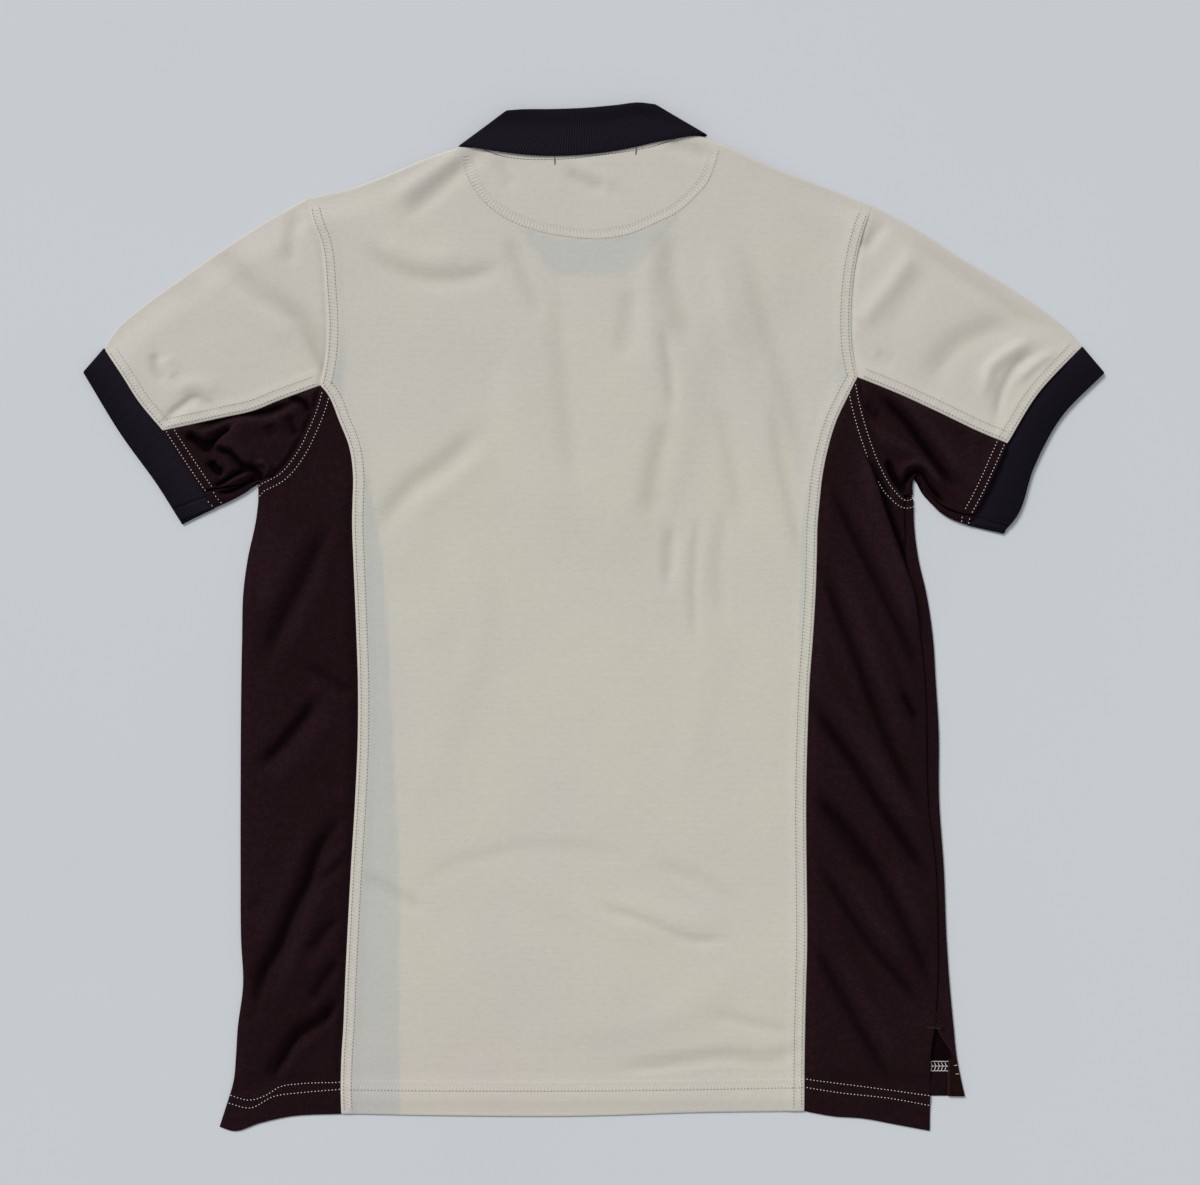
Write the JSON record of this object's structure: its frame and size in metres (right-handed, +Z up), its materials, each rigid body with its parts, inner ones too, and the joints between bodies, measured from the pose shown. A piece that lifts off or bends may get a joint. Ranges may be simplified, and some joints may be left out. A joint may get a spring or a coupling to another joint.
{
  "type": "polo shirt",
  "caption": "Short-sleeved polo shirt laid flat with its back up: pale knit body, dark side and under-arm panels, and black rib collar and cuffs.",
  "frame": {"origin": "on the surface that the shirt lies on, below the middle of its outline in plan", "axes": "+Z up from the surface, through the front and then the back of the shirt; +Y from the hem to the collar; +X across the shirt, to the right as its back is seen"},
  "size_m": [0.8174, 0.822, 0.008],
  "materials": {
    "pale_knit": "matt fine double knit",
    "brown_knit": "fine double knit with a slight sheen",
    "black_rib": "matt ribbed knit",
    "resin": "satin moulded resin"
  },
  "bodies": {
    "root": {"back_body": "pale_knit", "front_body": "pale_knit", "placket": "pale_knit", "half_moon_facing": "pale_knit", "sleeve_upper_left": "pale_knit", "sleeve_upper_right": "pale_knit", "back_side_left": "brown_knit", "back_side_right": "brown_knit", "front_side_left": "brown_knit", "front_side_right": "brown_knit", "under_sleeve_back_left": "brown_knit", "under_sleeve_back_right": "brown_knit", "under_sleeve_front_left": "brown_knit", "under_sleeve_front_right": "brown_knit", "collar": "black_rib", "cuff_left": "black_rib", "cuff_right": "black_rib", "button_top": "resin", "button_middle": "resin", "button_low": "resin"}
  },
  "joints": []
}
